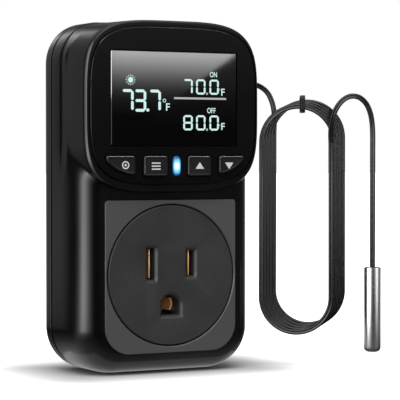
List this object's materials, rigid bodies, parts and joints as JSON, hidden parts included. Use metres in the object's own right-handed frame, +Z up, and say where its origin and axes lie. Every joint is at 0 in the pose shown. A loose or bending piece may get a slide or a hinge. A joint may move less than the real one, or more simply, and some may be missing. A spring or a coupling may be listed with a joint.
{
  "type": "plug-in temperature controller",
  "caption": "Plug-in thermostat: three-pin plug behind, outlet in front, lit display with push buttons in a raised head, and a wired probe on a hanking cable.",
  "frame": {"origin": "midway between the two plug blades, on the rear face that meets the wall outlet", "axes": "+Y into the wall outlet, along the blades; the display and outlet face -Y; +Z up along the height of the case; +X to the right of someone who looks at the front"},
  "size_m": [0.0908, 0.0636, 0.101],
  "materials": {
    "case_black": "satin, fine moulded grain",
    "panel_black": "satin",
    "window": "polished clear over black",
    "plate_grey": "satin",
    "insert_grey": "fine grain",
    "contact_copper": "bright copper alloy",
    "carrier_black": "satin",
    "blade_brass": "bright brass",
    "lcd_glass": "polished",
    "inner_black": "plain moulded",
    "backlight": "diffuser",
    "zebra_rubber": "matt",
    "board_green": "solder mask",
    "chip_black": "moulded epoxy",
    "button_black": "satin with lighter edge",
    "plunger_cream": "plain moulded",
    "light_pipe": "clear, lit blue",
    "led": "clear epoxy",
    "screw_steel": "zinc plated",
    "relay_blue": "plain moulded",
    "film_yellow": "box moulded",
    "capacitor_grey": "sleeved can",
    "varistor_blue": "dipped ceramic",
    "fuse_glass": "glass tube with metal caps",
    "tinned": "tin plated",
    "connector_white": "plain moulded",
    "cable_black": "smooth jacket",
    "rubber_black": "matt",
    "screw_dark": "blackened",
    "probe_steel": "drawn stainless steel",
    "bead": "glass-coated bead"
  },
  "bodies": {
    "housing": {"rear_shell": "case_black", "front_shell": "case_black", "front_panel": "panel_black", "display_window": "window", "socket_plate": "plate_grey", "socket_insert": "insert_grey", "neutral_contact": "contact_copper", "line_contact": "contact_copper", "ground_contact": "contact_copper", "blade_carrier": "carrier_black", "neutral_blade": "blade_brass", "line_blade": "blade_brass", "ground_pin": "blade_brass", "lcd_glass": "lcd_glass", "lcd_frame": "inner_black", "backlight_panel": "backlight", "zebra_strips": "zebra_rubber", "control_board": "board_green", "microcontroller": "chip_black", "switch_bases": "inner_black", "light_pipe": "light_pipe", "indicator_led": "led", "board_screws": "screw_steel", "power_board": "board_green", "relay": "relay_blue", "film_capacitor": "film_yellow", "electrolytic_capacitor": "capacitor_grey", "varistor": "varistor_blue", "fuse": "fuse_glass", "fuse_clips": "tinned", "bridge_rectifier": "chip_black", "voltage_regulator": "chip_black", "board_header": "inner_black", "neutral_busbar": "contact_copper", "line_busbar": "contact_copper", "probe_connector": "connector_white", "probe_leads": "cable_black", "cable_grommet": "rubber_black", "housing_screws": "screw_dark", "probe_cable_lead": "cable_black", "probe_cable_hank": "cable_black", "probe_cable_tail": "cable_black", "cable_tie": "rubber_black", "probe_tube": "probe_steel", "probe_potting": "rubber_black", "thermistor_bead": "bead"},
    "set_key": {"set_button": "button_black", "set_switch_plunger": "plunger_cream"},
    "function_key": {"function_button": "button_black", "function_switch_plunger": "plunger_cream"},
    "up_key": {"up_button": "button_black", "up_switch_plunger": "plunger_cream"},
    "down_key": {"down_button": "button_black", "down_switch_plunger": "plunger_cream"}
  },
  "joints": [
    {"name": "set_press", "type": "slide", "parent": "housing", "child": "set_key", "axis": [0, 1, 0], "range_m": [0, 0.0005], "stiffness_N_per_m": 500},
    {"name": "function_press", "type": "slide", "parent": "housing", "child": "function_key", "axis": [0, 1, 0], "range_m": [0, 0.0005], "stiffness_N_per_m": 500},
    {"name": "up_press", "type": "slide", "parent": "housing", "child": "up_key", "axis": [0, 1, 0], "range_m": [0, 0.0005], "stiffness_N_per_m": 500},
    {"name": "down_press", "type": "slide", "parent": "housing", "child": "down_key", "axis": [0, 1, 0], "range_m": [0, 0.0005], "stiffness_N_per_m": 500}
  ]
}
